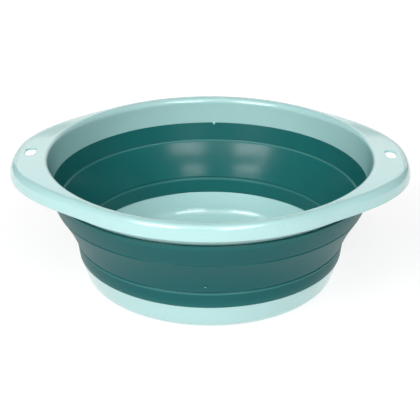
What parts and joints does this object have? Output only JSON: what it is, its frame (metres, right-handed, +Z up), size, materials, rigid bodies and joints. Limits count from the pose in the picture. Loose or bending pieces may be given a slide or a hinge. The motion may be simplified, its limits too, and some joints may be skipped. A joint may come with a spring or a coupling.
{
  "type": "collapsible washbasin",
  "caption": "Round fold-flat washbasin: stiff rim with two slotted handle wings, soft folding wall, stiff base that it stands on.",
  "frame": {"origin": "middle of the ring that the basin stands on, at its underside", "axes": "+X runs from one handle wing to the other, +Z up out of the mouth, the pictured side faces -Y"},
  "size_m": [0.4068, 0.3518, 0.1326],
  "materials": {
    "aqua_plastic": "smooth moulded polypropylene",
    "teal_rubber": "satin moulded thermoplastic rubber"
  },
  "bodies": {
    "base": {"base_bowl": "aqua_plastic", "fold_lower_band": "teal_rubber", "fold_lower_hinge": "teal_rubber", "fold_middle_band": "teal_rubber"},
    "rim": {"rim_frame": "aqua_plastic", "fold_upper_band": "teal_rubber", "fold_upper_hinge": "teal_rubber"}
  },
  "joints": [
    {"name": "collapse", "type": "slide", "parent": "base", "child": "rim", "axis": [0, 0, -1], "range_m": [0, 0.077], "deforming": ["fold_middle_band"]}
  ]
}
